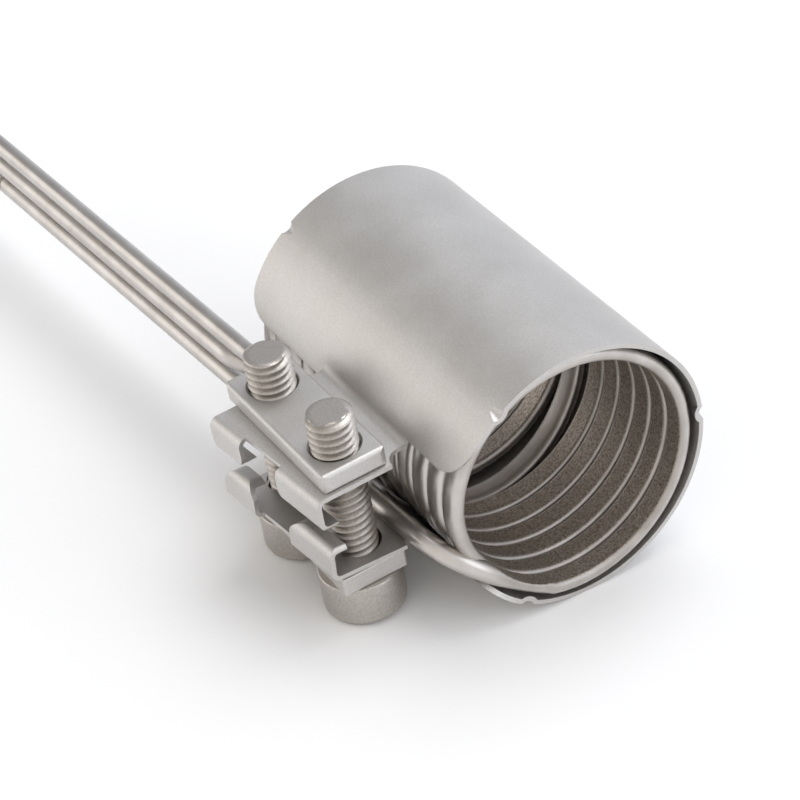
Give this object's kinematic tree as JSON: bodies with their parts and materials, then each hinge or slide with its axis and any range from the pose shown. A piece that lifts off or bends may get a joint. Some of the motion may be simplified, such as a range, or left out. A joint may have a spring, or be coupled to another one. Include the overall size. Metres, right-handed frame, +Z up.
{
  "type": "coil heater",
  "caption": "Coil heater with an axial clamp band, two clamp bars with socket head screws, two stiff leads and a thermocouple",
  "frame": {"origin": "centre of the bore, level with the band's front rim", "axes": "+Y along the bore from its front mouth to the leads' cut ends, -X towards the clamp, +Z up"},
  "size_m": [0.0339, 0.0854, 0.024],
  "materials": {
    "sheath_steel": "drawn and annealed stainless steel, ground to bare metal in the bore",
    "blasted_steel": "bead-blasted stainless steel, matt",
    "screw_steel": "stainless steel, satin",
    "magnesia": "pressed magnesia powder, matt",
    "nickel": "nickel wire, dull"
  },
  "bodies": {
    "heater": {"heating_coil": "sheath_steel", "front_lead_insulation": "magnesia", "front_lead_pin": "nickel", "rear_lead_insulation": "magnesia", "rear_lead_pin": "nickel", "thermocouple_sheath": "sheath_steel", "thermocouple_insulation": "magnesia", "thermocouple_wire_upper": "nickel", "thermocouple_wire_lower": "nickel", "clamp_band": "blasted_steel", "plain_bar": "blasted_steel"},
    "upper_bar": {"threaded_bar": "blasted_steel"},
    "screw_front": {"front_screw": "screw_steel"},
    "screw_rear": {"rear_screw": "screw_steel"}
  },
  "joints": [
    {"name": "front_screw_turn", "type": "hinge", "parent": "heater", "child": "screw_front", "pos_m": [-0.01558, 0.00975, -0.0077], "axis": [0.0847, 0, -0.9964], "range_deg": [0, 2300]},
    {"name": "rear_screw_turn", "type": "hinge", "parent": "heater", "child": "screw_rear", "pos_m": [-0.01558, 0.01975, -0.0077], "axis": [0.0847, 0, -0.9964], "range_deg": [0, 2300]},
    {"name": "threaded_bar_slide", "type": "slide", "parent": "heater", "child": "upper_bar", "axis": [-0.0847, 0, 0.9964], "range_m": [0, 0.00447]}
  ],
  "couplings": [
    {"joint": "front_screw_turn", "follows": "threaded_bar_slide", "rad_per_m": 8976},
    {"joint": "rear_screw_turn", "follows": "threaded_bar_slide", "rad_per_m": 8976}
  ]
}
